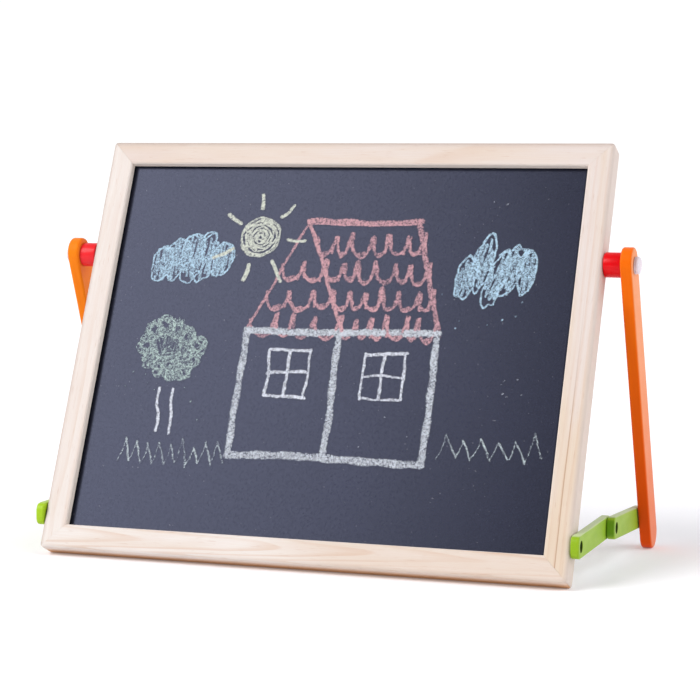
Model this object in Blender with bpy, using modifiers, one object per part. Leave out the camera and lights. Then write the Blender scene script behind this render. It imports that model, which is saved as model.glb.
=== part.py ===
"""Table-top drawing easel for children: a mitred pine frame round a chalkboard and a whiteboard,
on two orange legs that fold flat against the frame's sides, each held open by a pair of green links.

Run with: blender --background --python part.py
Units are metres, +Z is up, +X is the object's right as seen from the chalkboard side. The origin is on
the table, below the middle of the object.
"""

import math

import bmesh
import bpy

# Frame
FRAME_WIDTH = 0.500
FRAME_HEIGHT = 0.4105
FRAME_DEPTH = 0.0240
RAIL_FACE = 0.0230
EDGE_ROUND = 0.0035
INNER_EDGE_ROUND = 0.0015
LEAN = math.radians(24.2)

# Boards, which sit in a groove round the inside of the frame
BOARD_RECESS = 0.0075
BOARD_THICKNESS = 0.0030
GROOVE_DEPTH = 0.0062
DOWEL_RADIUS = 0.0025
DOWEL_LENGTH = 0.0140
DOWEL_INSET = 0.0093

# Legs, which turn on a bolt through a round spacer
LEG_WIDTH = 0.0285
LEG_THICKNESS = 0.0110
LEG_EDGE_ROUND = 0.0020
LEG_HEAD = 0.0022
LEG_ANGLE = math.radians(22.5)
PIVOT_UP = 0.2955
SPACER_RADIUS = 0.0114
SPACER_LENGTH = 0.0158
SPACER_RIM = 0.0008

# Links, which hold the legs open
LINK_WIDTH = 0.0207
LINK_END_POWER = 0.62
LINK_THICKNESS = 0.0076
LINK_EDGE_ROUND = 0.0013
LINK_UP = 0.0338
LINK_DEPTH = 0.0067
FRAME_LINK_LENGTH = 0.1057

# Hardware
BOLT_RADIUS = 0.0030
BOLT_HEAD_RADIUS = 0.0050
BOLT_HEAD_HEIGHT = 0.0030
BOLT_REACH = 0.0123
HEAD_RIM = 0.0005
INSERT_RADIUS = 0.0050
INSERT_LENGTH = 0.0123
CAP_RADIUS = 0.0079
CAP_BASE_HEIGHT = 0.0010
CAP_HEIGHT = 0.0048
CAP_WALL = 0.0009
CAP_SKIRT = 0.0012
CAP_BASE_RIM = 0.0002
SCREW_RADIUS = 0.0022
SCREW_HEAD_RADIUS = 0.0048
SCREW_HEAD_HEIGHT = 0.0024
SCREW_REACH = 0.0140
NUT_HEIGHT = 0.0031
COUNTERBORE_RADIUS = 0.00525
COUNTERBORE_DEPTH = 0.0050
NUT_POCKET_DEPTH = 0.0040
LEG_INSERT_RADIUS = 0.0045
LEG_INSERT_LENGTH = 0.0080

GAP = 0.0003
CLEARANCE = 0.0004
OVERSHOOT = 0.0100

# How finely round shapes are divided, and how near two points are to be welded
ROUND_SIDES = 32
HOLE_SIDES = 24
HARDWARE_SIDES = 16
END_STEPS = 16
CORNER_SEGMENTS = 4
PLATE_EDGE_SEGMENTS = 3
CAP_RINGS = 5
WELD_DISTANCE = 0.00001
FLAT_ANGLE = math.radians(1)
SQUARE_ANGLE = math.radians(50)
SHARP_ANGLE = math.radians(35)

# Layers on each side, measured outwards from the frame's side face
FRAME_LINK_LAYER = GAP
LEG_LINK_LAYER = FRAME_LINK_LAYER + LINK_THICKNESS + GAP
LEG_LAYER = GAP + SPACER_LENGTH + GAP
CAP_BASE_LAYER = LEG_LAYER + LEG_THICKNESS + GAP
CAP_LAYER = CAP_BASE_LAYER + CAP_BASE_HEIGHT + GAP

# The frame's front bottom edge. The rounded rear bottom edge touches the table.
FRONT_Z = EDGE_ROUND * (1 - math.cos(LEAN)) + (FRAME_DEPTH - EDGE_ROUND) * math.sin(LEAN)


def on_frame(depth, up):
    """(y, z) of a point on the leaning frame, with y measured from the front bottom edge."""
    y = up * math.sin(LEAN) + depth * math.cos(LEAN)
    z = FRONT_Z + up * math.cos(LEAN) - depth * math.sin(LEAN)
    return y, z


PIVOT = on_frame(FRAME_DEPTH / 2, PIVOT_UP)
LEG_LENGTH = (PIVOT[1] - LEG_WIDTH / 2) / math.cos(LEG_ANGLE)
FRAME_LINK_PIN = on_frame(LINK_DEPTH, LINK_UP)
LINK_JOINT = (FRAME_LINK_PIN[0] + FRAME_LINK_LENGTH, FRAME_LINK_PIN[1])
LINK_JOINT_FOLDED = on_frame(LINK_DEPTH, LINK_UP + FRAME_LINK_LENGTH)


def leg_pin_distance():
    """How far down the leg the leg link's pin is, so that the links close both open and folded flat.

    Open, the leg runs down from the pivot along (sin, -cos) of its angle and the frame link is level.
    Folded, the leg runs down the stile and the frame link up it. The leg link is as long in both.
    """
    open_offset = (PIVOT[0] - LINK_JOINT[0], PIVOT[1] - LINK_JOINT[1])
    folded_offset = (PIVOT[0] - LINK_JOINT_FOLDED[0], PIVOT[1] - LINK_JOINT_FOLDED[1])
    open_slope = open_offset[0] * math.sin(LEG_ANGLE) - open_offset[1] * math.cos(LEG_ANGLE)
    folded_slope = folded_offset[0] * math.sin(LEAN) + folded_offset[1] * math.cos(LEAN)
    difference = math.hypot(*folded_offset) ** 2 - math.hypot(*open_offset) ** 2
    return difference / (2 * (open_slope + folded_slope))


LEG_PIN_DISTANCE = leg_pin_distance()
LEG_PIN = (
    PIVOT[0] + LEG_PIN_DISTANCE * math.sin(LEG_ANGLE),
    PIVOT[1] - LEG_PIN_DISTANCE * math.cos(LEG_ANGLE),
)
LEG_LINK_LENGTH = math.dist(LINK_JOINT, LEG_PIN)
LEG_LINK_DROP = math.asin((LINK_JOINT[1] - LEG_PIN[1]) / LEG_LINK_LENGTH)

# The origin is below the middle of the box that holds the whole object
FOREMOST = EDGE_ROUND * (math.sin(LEAN) + math.cos(LEAN) - 1)
REARMOST = PIVOT[0] + LEG_LENGTH * math.sin(LEG_ANGLE) + LEG_WIDTH / 2
FRONT_Y = -(FOREMOST + REARMOST) / 2

PINE = ("pine", (0.80, 0.66, 0.50), 0.55, 0.0)
SLATE = ("chalkboard_paint", (0.055, 0.058, 0.075), 0.85, 0.0)
WHITE = ("whiteboard_lacquer", (0.88, 0.88, 0.88), 0.25, 0.0)
HARDBOARD = ("hardboard", (0.35, 0.22, 0.12), 0.80, 0.0)
BEECH = ("beech", (0.66, 0.45, 0.27), 0.60, 0.0)
ORANGE = ("orange_paint", (0.90, 0.22, 0.01), 0.40, 0.0)
RED = ("red_paint", (0.78, 0.01, 0.02), 0.40, 0.0)
GREEN = ("green_paint", (0.33, 0.55, 0.02), 0.40, 0.0)
STEEL = ("zinc_steel", (0.60, 0.61, 0.63), 0.35, 1.0)
BRASS = ("brass", (0.72, 0.52, 0.22), 0.35, 1.0)
CLEAR = ("clear_plastic", (0.80, 0.78, 0.84), 0.25, 0.0)


def clear_scene():
    """An empty scene to model in."""
    for old in list(bpy.data.objects):
        bpy.data.objects.remove(old, do_unlink=True)


def new_collection(name):
    collection = bpy.data.collections.new(name)
    bpy.context.scene.collection.children.link(collection)
    return collection


def material(spec):
    """The material of a finish, made once."""
    name, colour, roughness, metallic = spec
    if name in bpy.data.materials:
        return bpy.data.materials[name]
    made = bpy.data.materials.new(name)
    made.use_nodes = True
    shader = made.node_tree.nodes["Principled BSDF"]
    shader.inputs["Base Color"].default_value = (*colour, 1.0)
    shader.inputs["Roughness"].default_value = roughness
    shader.inputs["Metallic"].default_value = metallic
    return made


def empty(name, parent, location, rotation):
    """A frame of reference that parts hang from."""
    made = bpy.data.objects.new(name, None)
    PARTS.objects.link(made)
    made.parent = parent
    made.location = location
    made.rotation_euler = rotation
    return made


def add_object(name, mesh, parent, location, rotation, finish):
    """A part with its finish, or a cutter where the finish is None."""
    made = bpy.data.objects.new(name, mesh)
    made.parent = parent
    made.location = location
    made.rotation_euler = rotation
    if finish is None:
        CUTTERS.objects.link(made)
        made.hide_render = True
        made.display_type = "WIRE"
    else:
        PARTS.objects.link(made)
        mesh.materials.append(material(finish))
    return made


def box_mesh(name, size, centre):
    """A box of this size round a centre."""
    bm = bmesh.new()
    bmesh.ops.create_cube(bm, size=1.0)
    bmesh.ops.scale(bm, vec=size, verts=bm.verts)
    bmesh.ops.translate(bm, vec=centre, verts=bm.verts)
    mesh = bpy.data.meshes.new(name)
    bm.to_mesh(mesh)
    bm.free()
    return mesh


def outline_mesh(name, points, thickness):
    """A flat outline in the XY plane, with half its thickness on each side."""
    curve = bpy.data.curves.new(name, "CURVE")
    curve.dimensions = "2D"
    curve.fill_mode = "BOTH"
    curve.extrude = thickness / 2
    spline = curve.splines.new("POLY")
    spline.points.add(len(points) - 1)
    for point, (x, y) in zip(spline.points, points):
        point.co = (x, y, 0.0, 1.0)
    spline.use_cyclic_u = True
    holder = bpy.data.objects.new(name, curve)
    bpy.context.scene.collection.objects.link(holder)
    depsgraph = bpy.context.evaluated_depsgraph_get()
    mesh = bpy.data.meshes.new_from_object(holder.evaluated_get(depsgraph))
    bpy.data.objects.remove(holder, do_unlink=True)
    bpy.data.curves.remove(curve)
    bm = bmesh.new()
    bm.from_mesh(mesh)
    bmesh.ops.remove_doubles(bm, verts=bm.verts, dist=WELD_DISTANCE)
    bmesh.ops.dissolve_limit(bm, angle_limit=FLAT_ANGLE, verts=bm.verts, edges=bm.edges)
    bmesh.ops.recalc_face_normals(bm, faces=bm.faces)
    bm.to_mesh(mesh)
    bm.free()
    mesh.name = name
    return mesh


def cylinder_mesh(name, radius, low, high, sides):
    """A cylinder along Z from low to high."""
    bm = bmesh.new()
    bmesh.ops.create_cone(
        bm, cap_ends=True, segments=sides, radius1=radius, radius2=radius, depth=high - low
    )
    bmesh.ops.translate(bm, vec=(0.0, 0.0, (low + high) / 2), verts=bm.verts)
    mesh = bpy.data.meshes.new(name)
    bm.to_mesh(mesh)
    bm.free()
    return mesh


def profile_mesh(name, profile):
    """The line that a turned shape is screwed from: (radius, z) pairs, top to bottom on its outer side."""
    bm = bmesh.new()
    verts = [bm.verts.new((radius, 0.0, z)) for radius, z in profile]
    for first, second in zip(verts, verts[1:]):
        bm.edges.new((first, second))
    if profile[0][0] > 0.0:
        bm.edges.new((verts[-1], verts[0]))
    mesh = bpy.data.meshes.new(name)
    bm.to_mesh(mesh)
    bm.free()
    return mesh


def turn(part, sides):
    """Turns a part's profile round Z into a closed solid."""
    screw = part.modifiers.new("turn", "SCREW")
    screw.steps = sides
    screw.render_steps = sides
    screw.use_merge_vertices = True
    screw.merge_threshold = WELD_DISTANCE
    return part


def bevel(part, width, segments):
    """Rounds a part's square edges."""
    made = part.modifiers.new("edges", "BEVEL")
    made.width = width
    made.segments = segments
    made.limit_method = "ANGLE"
    made.angle_limit = SQUARE_ANGLE


def combine(part, cutter, operation="DIFFERENCE"):
    """Cuts a part by a cutter, or keeps what lies inside it."""
    made = part.modifiers.new(cutter.name, "BOOLEAN")
    made.operation = operation
    made.solver = "EXACT"
    made.object = cutter


def quarter_arc(centre, radius, start):
    """Points of a quarter circle from the start angle in degrees, turning anticlockwise."""
    turn_step = 90 / CORNER_SEGMENTS
    angles = [math.radians(start + turn_step * step) for step in range(CORNER_SEGMENTS + 1)]
    return [(centre[0] + radius * math.cos(a), centre[1] + radius * math.sin(a)) for a in angles]


def stadium(width, length, head=0.0, end_power=1.0):
    """A bar's outline, its end centres at (0, -head) and at (0, length).

    The ends are half circles, or squarer where end_power is below 1.
    """
    radius = width / 2
    near_end = []
    far_end = []
    for step in range(END_STEPS + 1):
        angle = math.pi * step / END_STEPS
        across = radius * math.copysign(abs(math.cos(angle)) ** end_power, math.cos(angle))
        along = radius * abs(math.sin(angle)) ** end_power
        near_end.append((-across, -head - along))
        far_end.append((across, length + along))
    return near_end + far_end


def mitre_outline(span):
    """A rail seen from the front, its ends cut at 45 degrees with half a gap left at each."""
    outer = span / 2 + OVERSHOOT - GAP * math.sqrt(0.5)
    inner = span / 2 - 2 * RAIL_FACE - GAP * math.sqrt(0.5)
    return [(-outer, -OVERSHOOT), (outer, -OVERSHOOT), (inner, 2 * RAIL_FACE), (-inner, 2 * RAIL_FACE)]


def inner_outline():
    """What is cut from a rail's inner side, as (depth, distance from the outer edge): the opening with
    its softened edges, and the groove that the boards sit in."""
    groove_front = BOARD_RECESS - GAP
    groove_back = FRAME_DEPTH - groove_front
    groove_floor = RAIL_FACE - GROOVE_DEPTH
    soft = RAIL_FACE - INNER_EDGE_ROUND
    front_arc = quarter_arc((INNER_EDGE_ROUND, soft), INNER_EDGE_ROUND, 90)
    back_arc = quarter_arc((FRAME_DEPTH - INNER_EDGE_ROUND, soft), INNER_EDGE_ROUND, 0)
    points = [(-OVERSHOOT, soft)]
    points += front_arc[::-1]
    points += [(groove_front, RAIL_FACE), (groove_front, groove_floor)]
    points += [(groove_back, groove_floor), (groove_back, RAIL_FACE)]
    points += back_arc[::-1]
    points += [(FRAME_DEPTH + OVERSHOOT, soft)]
    points += [(FRAME_DEPTH + OVERSHOOT, 3 * RAIL_FACE), (-OVERSHOOT, 3 * RAIL_FACE)]
    return points


def make_dowel(name, radius, length, side, up, finish):
    """A round dowel across the middle of a mitre, or its hole. up is 1 at the top and -1 at the bottom."""
    middle = FRAME_HEIGHT / 2
    place = (side * (FRAME_WIDTH / 2 - DOWEL_INSET), FRAME_DEPTH / 2, middle + up * (middle - DOWEL_INSET))
    slant = (0.0, side * up * math.radians(45), 0.0)
    mesh = cylinder_mesh(name, radius, -length / 2, length / 2, HARDWARE_SIDES)
    return add_object(name, mesh, FRAME_AXES, place, slant, finish)


def make_rail(name, span, reach, turn_angle, x, z, holes):
    """One mitred rail. Its own X runs along it, Y into the frame's depth, Z from the outer edge inwards."""
    size = (span, FRAME_DEPTH, reach)
    middle = (0.0, FRAME_DEPTH / 2, reach / 2)
    rail = add_object(
        name, box_mesh(name, size, middle), FRAME_AXES, (x, 0.0, z), (0.0, turn_angle, 0.0), PINE
    )
    bevel(rail, EDGE_ROUND, CORNER_SEGMENTS)
    mitre = outline_mesh(name + "_mitre", mitre_outline(span), FRAME_DEPTH + 2 * OVERSHOOT)
    wedge = add_object(
        name + "_mitre", mitre, rail, (0.0, FRAME_DEPTH / 2, 0.0), (math.radians(90), 0.0, 0.0), None
    )
    combine(rail, wedge, "INTERSECT")
    rebate = outline_mesh(name + "_rebate", inner_outline(), span + 2 * OVERSHOOT)
    inner = add_object(
        name + "_rebate", rebate, rail, (0.0, 0.0, 0.0), (math.radians(90), 0.0, math.radians(90)), None
    )
    combine(rail, inner)
    for hole in holes:
        combine(rail, hole)
    return rail


def make_board(name, front, thickness, finish):
    """A board that reaches into the groove on all four sides. front is the depth of its front face."""
    edge = RAIL_FACE - GROOVE_DEPTH + GAP
    size = (FRAME_WIDTH - 2 * edge, thickness, FRAME_HEIGHT - 2 * edge)
    middle = (0.0, front + thickness / 2, FRAME_HEIGHT / 2)
    return add_object(name, box_mesh(name, size, middle), FRAME_AXES, (0, 0, 0), (0, 0, 0), finish)


def make_frame():
    """The four rails, their dowels and the three boards in the groove. Returns the two stiles."""
    holes = {}
    for side, label in SIDES:
        for up, level in ((-1, "bottom"), (1, "top")):
            name = level + "_" + label + "_dowel"
            make_dowel(name, DOWEL_RADIUS, DOWEL_LENGTH, side, up, BEECH)
            hole = (name + "_hole", DOWEL_RADIUS + GAP, DOWEL_LENGTH + 2 * GAP)
            holes[side, up] = make_dowel(*hole, side, up, None)
    half_turn = math.radians(180)
    quarter_turn = math.radians(90)
    bottom_holes = (holes[-1, -1], holes[1, -1])
    top_holes = (holes[-1, 1], holes[1, 1])
    make_rail("bottom_rail", FRAME_WIDTH, FRAME_HEIGHT, 0.0, 0.0, 0.0, bottom_holes)
    make_rail("top_rail", FRAME_WIDTH, FRAME_HEIGHT, half_turn, 0.0, FRAME_HEIGHT, top_holes)
    stiles = {}
    for side, label in SIDES:
        stiles[side] = make_rail(
            label + "_stile",
            FRAME_HEIGHT,
            FRAME_WIDTH,
            -side * quarter_turn,
            side * FRAME_WIDTH / 2,
            FRAME_HEIGHT / 2,
            (holes[side, -1], holes[side, 1]),
        )
    core_front = BOARD_RECESS + BOARD_THICKNESS + GAP
    core_thickness = FRAME_DEPTH - 2 * core_front
    make_board("chalkboard_panel", BOARD_RECESS, BOARD_THICKNESS, SLATE)
    make_board("core_sheet", core_front, core_thickness, HARDBOARD)
    make_board("whiteboard_panel", core_front + core_thickness + GAP, BOARD_THICKNESS, WHITE)
    return stiles


def add_axial(name, mesh, axis, side, finish, along=0.0):
    """A part whose own Z points outwards from the frame's side face, on an axis that an empty marks."""
    turned = (0.0, side * math.radians(90), 0.0)
    return add_object(name, mesh, axis, (side * FRAME_WIDTH / 2, along, 0.0), turned, finish)


def drill(part, name, axis, side, radius, low, high, along=0.0):
    """A round hole through a part from low to high outwards, on an axis that an empty marks."""
    mesh = cylinder_mesh(name, radius, low, high, HOLE_SIDES)
    combine(part, add_axial(name, mesh, axis, side, None, along))


def headed_rod(top, head_radius, head_height, radius, tip):
    """A rod's profile from the top of its head to its tip, with the head's rim broken. A rod that points
    outwards has its tip above its head."""
    towards = 1 if tip > top else -1
    rim = head_radius - HEAD_RIM
    seat = top + towards * head_height
    profile = [
        (0.0, top),
        (rim, top),
        (head_radius, top + towards * HEAD_RIM),
        (head_radius, seat),
        (radius, seat),
        (radius, tip),
        (0.0, tip),
    ]
    return profile if towards < 0 else profile[::-1]


def sleeve(inner, outer, low, high, broken=0.0):
    """A round sleeve's profile, with its outer rims broken where broken is more than 0."""
    if broken == 0.0:
        return [(inner, high), (outer, high), (outer, low), (inner, low)]
    return [
        (inner, high),
        (outer - broken, high),
        (outer, high - broken),
        (outer, low + broken),
        (outer - broken, low),
        (inner, low),
    ]


def cap_profile():
    """The hollow dome that hides the pivot bolt's head: outer side from the top, then the inner side."""
    top = CAP_LAYER + CAP_HEIGHT
    wall_top = CAP_LAYER + CAP_SKIRT
    rise = top - wall_top
    steps = [math.radians(90 * step / CAP_RINGS) for step in range(CAP_RINGS + 1)]
    outer = [(CAP_RADIUS * math.sin(a), wall_top + rise * math.cos(a)) for a in steps]
    inner = [
        ((CAP_RADIUS - CAP_WALL) * math.sin(a), wall_top + (rise - CAP_WALL) * math.cos(a))
        for a in steps[::-1]
    ]
    foot = [(CAP_RADIUS, CAP_LAYER), (CAP_RADIUS - CAP_WALL, CAP_LAYER)]
    return outer + foot + inner


def make_pivot(side, label, stile, axis):
    """The spacer, the bolt in its insert and the domed cap that a leg turns on."""
    spacer = sleeve(BOLT_RADIUS + CLEARANCE, SPACER_RADIUS, GAP, GAP + SPACER_LENGTH, SPACER_RIM)
    turn(add_axial(label + "_spacer", profile_mesh(label + "_spacer", spacer), axis, side, RED), ROUND_SIDES)

    insert_end = -GAP - INSERT_LENGTH
    insert = sleeve(BOLT_RADIUS + CLEARANCE, INSERT_RADIUS, insert_end, -GAP)
    name = label + "_pivot_insert"
    turn(add_axial(name, profile_mesh(name, insert), axis, side, BRASS), HARDWARE_SIDES)
    drill(
        stile, name + "_hole", axis, side, INSERT_RADIUS + GAP, insert_end - 2 * GAP, OVERSHOOT
    )

    head_top = CAP_LAYER + BOLT_HEAD_HEIGHT
    bolt = headed_rod(head_top, BOLT_HEAD_RADIUS, BOLT_HEAD_HEIGHT, BOLT_RADIUS, -BOLT_REACH)
    name = label + "_pivot_bolt"
    turn(add_axial(name, profile_mesh(name, bolt), axis, side, STEEL), HARDWARE_SIDES)

    base_top = CAP_BASE_LAYER + CAP_BASE_HEIGHT
    base = sleeve(BOLT_RADIUS + CLEARANCE, CAP_RADIUS, CAP_BASE_LAYER, base_top, CAP_BASE_RIM)
    name = label + "_pivot_cap_base"
    turn(add_axial(name, profile_mesh(name, base), axis, side, CLEAR), ROUND_SIDES)
    name = label + "_pivot_cap"
    turn(add_axial(name, profile_mesh(name, cap_profile()), axis, side, CLEAR), ROUND_SIDES)


def make_plate(
    name, width, length, low, thickness, axis, side, finish, edge_round, head=0.0, end_power=1.0
):
    """A flat bar with round ends, running along its axis empty's Y. head is its extra length above it."""
    mesh = outline_mesh(name, stadium(width, length, head, end_power), thickness)
    for vertex in mesh.vertices:
        vertex.co.z += low + thickness / 2
    plate = add_axial(name, mesh, axis, side, finish)
    bevel(plate, edge_round, PLATE_EDGE_SEGMENTS)
    return plate


def make_leg(side, label, axis):
    """A leg, drilled for the pivot bolt and for the insert that the leg link's screw turns in."""
    size = (LEG_WIDTH, LEG_LENGTH, LEG_LAYER, LEG_THICKNESS)
    leg = make_plate(label + "_leg", *size, axis, side, ORANGE, LEG_EDGE_ROUND, LEG_HEAD)
    outside = LEG_LAYER + LEG_THICKNESS + OVERSHOOT
    drill(leg, label + "_pivot_hole", axis, side, BOLT_RADIUS + CLEARANCE, GAP, outside)

    insert_low = LEG_LAYER + GAP
    insert_high = insert_low + LEG_INSERT_LENGTH
    name = label + "_leg_link_insert"
    insert = sleeve(SCREW_RADIUS + CLEARANCE, LEG_INSERT_RADIUS, insert_low, insert_high)
    made = add_axial(name, profile_mesh(name, insert), axis, side, BRASS, LEG_PIN_DISTANCE)
    turn(made, HARDWARE_SIDES)
    pocket = (LEG_INSERT_RADIUS + GAP, GAP, insert_high + GAP, LEG_PIN_DISTANCE)
    drill(leg, name + "_hole", axis, side, *pocket)


def make_frame_link(side, label, stile, axis):
    """The link on the frame's side, its screw, and the nut and bolt that join it to the leg link."""
    low = FRAME_LINK_LAYER
    high = low + LINK_THICKNESS
    name = label + "_frame_link"
    link = make_plate(
        name, LINK_WIDTH, FRAME_LINK_LENGTH, low, LINK_THICKNESS, axis, side, GREEN, LINK_EDGE_ROUND,
        end_power=LINK_END_POWER,
    )
    bore = SCREW_RADIUS + CLEARANCE
    seat = high - COUNTERBORE_DEPTH
    drill(link, name + "_hole", axis, side, bore, -OVERSHOOT, seat + GAP)
    drill(link, name + "_counterbore", axis, side, COUNTERBORE_RADIUS, seat, high + OVERSHOOT)
    pocket = low + NUT_POCKET_DEPTH
    drill(link, name + "_nut_pocket", axis, side, COUNTERBORE_RADIUS, -OVERSHOOT, pocket, FRAME_LINK_LENGTH)
    drill(link, name + "_bolt_hole", axis, side, bore, pocket - GAP, high + OVERSHOOT, FRAME_LINK_LENGTH)

    name = label + "_frame_link_screw"
    head_top = seat + GAP + SCREW_HEAD_HEIGHT
    screw = headed_rod(head_top, SCREW_HEAD_RADIUS, SCREW_HEAD_HEIGHT, SCREW_RADIUS, -SCREW_REACH)
    turn(add_axial(name, profile_mesh(name, screw), axis, side, STEEL), HARDWARE_SIDES)
    drill(stile, name + "_hole", axis, side, SCREW_RADIUS + GAP, -SCREW_REACH - GAP, OVERSHOOT)

    name = label + "_link_nut"
    nut_high = pocket - GAP
    nut = sleeve(SCREW_RADIUS + CLEARANCE, SCREW_HEAD_RADIUS, nut_high - NUT_HEIGHT, nut_high)
    turn(add_axial(name, profile_mesh(name, nut), axis, side, STEEL, FRAME_LINK_LENGTH), HARDWARE_SIDES)

    name = label + "_link_bolt"
    bolt_seat = LEG_LINK_LAYER + LINK_THICKNESS - COUNTERBORE_DEPTH
    head_top = bolt_seat + GAP + SCREW_HEAD_HEIGHT
    tip = nut_high - NUT_HEIGHT + GAP
    bolt = headed_rod(head_top, SCREW_HEAD_RADIUS, SCREW_HEAD_HEIGHT, SCREW_RADIUS, tip)
    turn(add_axial(name, profile_mesh(name, bolt), axis, side, STEEL, FRAME_LINK_LENGTH), HARDWARE_SIDES)


def make_leg_link(side, label, axis):
    """The link on the leg's inner side. Its screw faces the leg and stops short of the leg's insert."""
    low = LEG_LINK_LAYER
    high = low + LINK_THICKNESS
    name = label + "_leg_link"
    link = make_plate(
        name, LINK_WIDTH, LEG_LINK_LENGTH, low, LINK_THICKNESS, axis, side, GREEN, LINK_EDGE_ROUND,
        end_power=LINK_END_POWER,
    )
    bore = SCREW_RADIUS + CLEARANCE
    seat = high - COUNTERBORE_DEPTH
    drill(link, name + "_bolt_hole", axis, side, bore, -OVERSHOOT, seat + GAP)
    drill(link, name + "_counterbore", axis, side, COUNTERBORE_RADIUS, seat, high + OVERSHOOT)
    pocket = low + COUNTERBORE_DEPTH
    drill(link, name + "_screw_pocket", axis, side, COUNTERBORE_RADIUS, -OVERSHOOT, pocket, LEG_LINK_LENGTH)
    drill(link, name + "_screw_hole", axis, side, bore, pocket - GAP, high + OVERSHOOT, LEG_LINK_LENGTH)

    name = label + "_leg_link_screw"
    head_top = pocket - GAP - SCREW_HEAD_HEIGHT
    screw = headed_rod(head_top, SCREW_HEAD_RADIUS, SCREW_HEAD_HEIGHT, SCREW_RADIUS, high)
    turn(add_axial(name, profile_mesh(name, screw), axis, side, STEEL, LEG_LINK_LENGTH), HARDWARE_SIDES)


def axis_on_frame(name, depth, up):
    """An empty on a pin's axis in the frame, turned so that its own Y is level."""
    return empty(name, FRAME_AXES, (0.0, depth, up), (LEAN, 0.0, 0.0))


def make_side(side, label, stile):
    """One side's leg, links and hardware, each on an empty on its own axis."""
    pivot = axis_on_frame(label + "_pivot_axis", FRAME_DEPTH / 2, PIVOT_UP)
    make_pivot(side, label, stile, pivot)
    down_the_leg = (LEG_ANGLE - math.radians(90), 0.0, 0.0)
    make_leg(side, label, empty(label + "_leg_axis", pivot, (0.0, 0.0, 0.0), down_the_leg))
    frame_link = axis_on_frame(label + "_frame_link_axis", LINK_DEPTH, LINK_UP)
    make_frame_link(side, label, stile, frame_link)
    joint = (0.0, FRAME_LINK_LENGTH, 0.0)
    leg_link = empty(label + "_leg_link_axis", frame_link, joint, (-LEG_LINK_DROP, 0.0, 0.0))
    make_leg_link(side, label, leg_link)


clear_scene()
PARTS = new_collection("kids_easel")
CUTTERS = new_collection("cutters")
SIDES = ((-1, "left"), (1, "right"))
FRAME_AXES = empty("frame_axes", None, (0.0, FRONT_Y, FRONT_Z), (-LEAN, 0.0, 0.0))
STILES = make_frame()
for side_sign, side_label in SIDES:
    make_side(side_sign, side_label, STILES[side_sign])
for made_part in PARTS.objects:
    if made_part.type == "MESH":
        made_part.data.shade_smooth()
        made_part.data.set_sharp_from_angle(angle=SHARP_ANGLE)
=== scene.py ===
"""Kids easel: a tabletop board frame on two folding legs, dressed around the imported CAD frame.

Lengths are metres and angles degrees. The frame stands on the floor at z = 0, leans back, and its
board faces -Y. Each moulding, plate and fitting is made in its own axes and then put in place.
"""

import math
import random

import bpy
import numpy as np
from mathutils import Matrix, Vector


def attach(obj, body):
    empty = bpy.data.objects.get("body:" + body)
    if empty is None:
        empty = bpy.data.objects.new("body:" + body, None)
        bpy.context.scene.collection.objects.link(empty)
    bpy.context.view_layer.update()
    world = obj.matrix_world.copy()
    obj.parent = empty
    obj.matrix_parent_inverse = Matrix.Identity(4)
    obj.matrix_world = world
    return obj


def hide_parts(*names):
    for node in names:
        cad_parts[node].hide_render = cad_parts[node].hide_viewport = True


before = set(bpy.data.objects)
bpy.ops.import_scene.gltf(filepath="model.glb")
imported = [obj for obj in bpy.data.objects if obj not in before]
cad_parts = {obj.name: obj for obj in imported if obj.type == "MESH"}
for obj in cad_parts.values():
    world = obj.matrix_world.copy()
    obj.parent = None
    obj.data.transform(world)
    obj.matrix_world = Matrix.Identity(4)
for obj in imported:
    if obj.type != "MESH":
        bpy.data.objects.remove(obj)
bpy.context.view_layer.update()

# The wooden frame, on axes at its lower front edge: X to the right, Y into its depth, Z up its face
FRAME_ORIGIN = (0.0, -0.127383, 0.008711)
LEAN = 24.2
FRAME_WIDTH = 0.500
FRAME_HEIGHT = 0.4105
FRAME_DEPTH = 0.0240
RAIL_FACE = 0.0230
BOARD_RECESS = 0.0075
GROOVE_DEPTH = 0.0062
CHALK_LIFT = 0.00012
EDGE_ROUND = 0.0035
INNER_ROUND = 0.0018
LIP_ROUND = 0.0003
CORNER_STEPS = 6
CORNER_SUPPORT = 0.0003
MITRE_GAP = 0.00006
# How far into the frame the painted shade on the rails' outer edges grows to full strength
EDGE_SHADE_RISE = 0.013

# The side parts: where each layer starts, measured outwards from the frame's side face
PIVOT = (0.004694, 0.273323)
LEG_TILT = 22.5
LEG_LENGTH = 0.280419
LEG_PIN = 0.263214
LEG_WIDTH = 0.0285
LEG_THICKNESS = 0.0110
LEG_LAYER = 0.0164
LEG_ROUND = 0.0020
LEG_HEAD = 0.0022
LINK_WIDTH = 0.0207
LINK_END_POWER = 0.62
LINK_THICKNESS = 0.0076
LINK_ROUND = 0.0013
FRAME_PIN = (-0.107417, 0.036794)
LINK_JOINT = (-0.001717, 0.036794)
FRAME_LINK_LENGTH = 0.1057
LEG_LINK_LENGTH = 0.107345
LEG_LINK_DROP = 3.551
FRAME_LINK_LAYER = 0.0003
LEG_LINK_LAYER = 0.0082
SPACER_RADIUS = 0.0114
SPACER_LENGTH = 0.0158
SPACER_RIM = 0.0011
LAYER_GAP = 0.0003
PLATE_END_STEPS = 28

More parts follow.
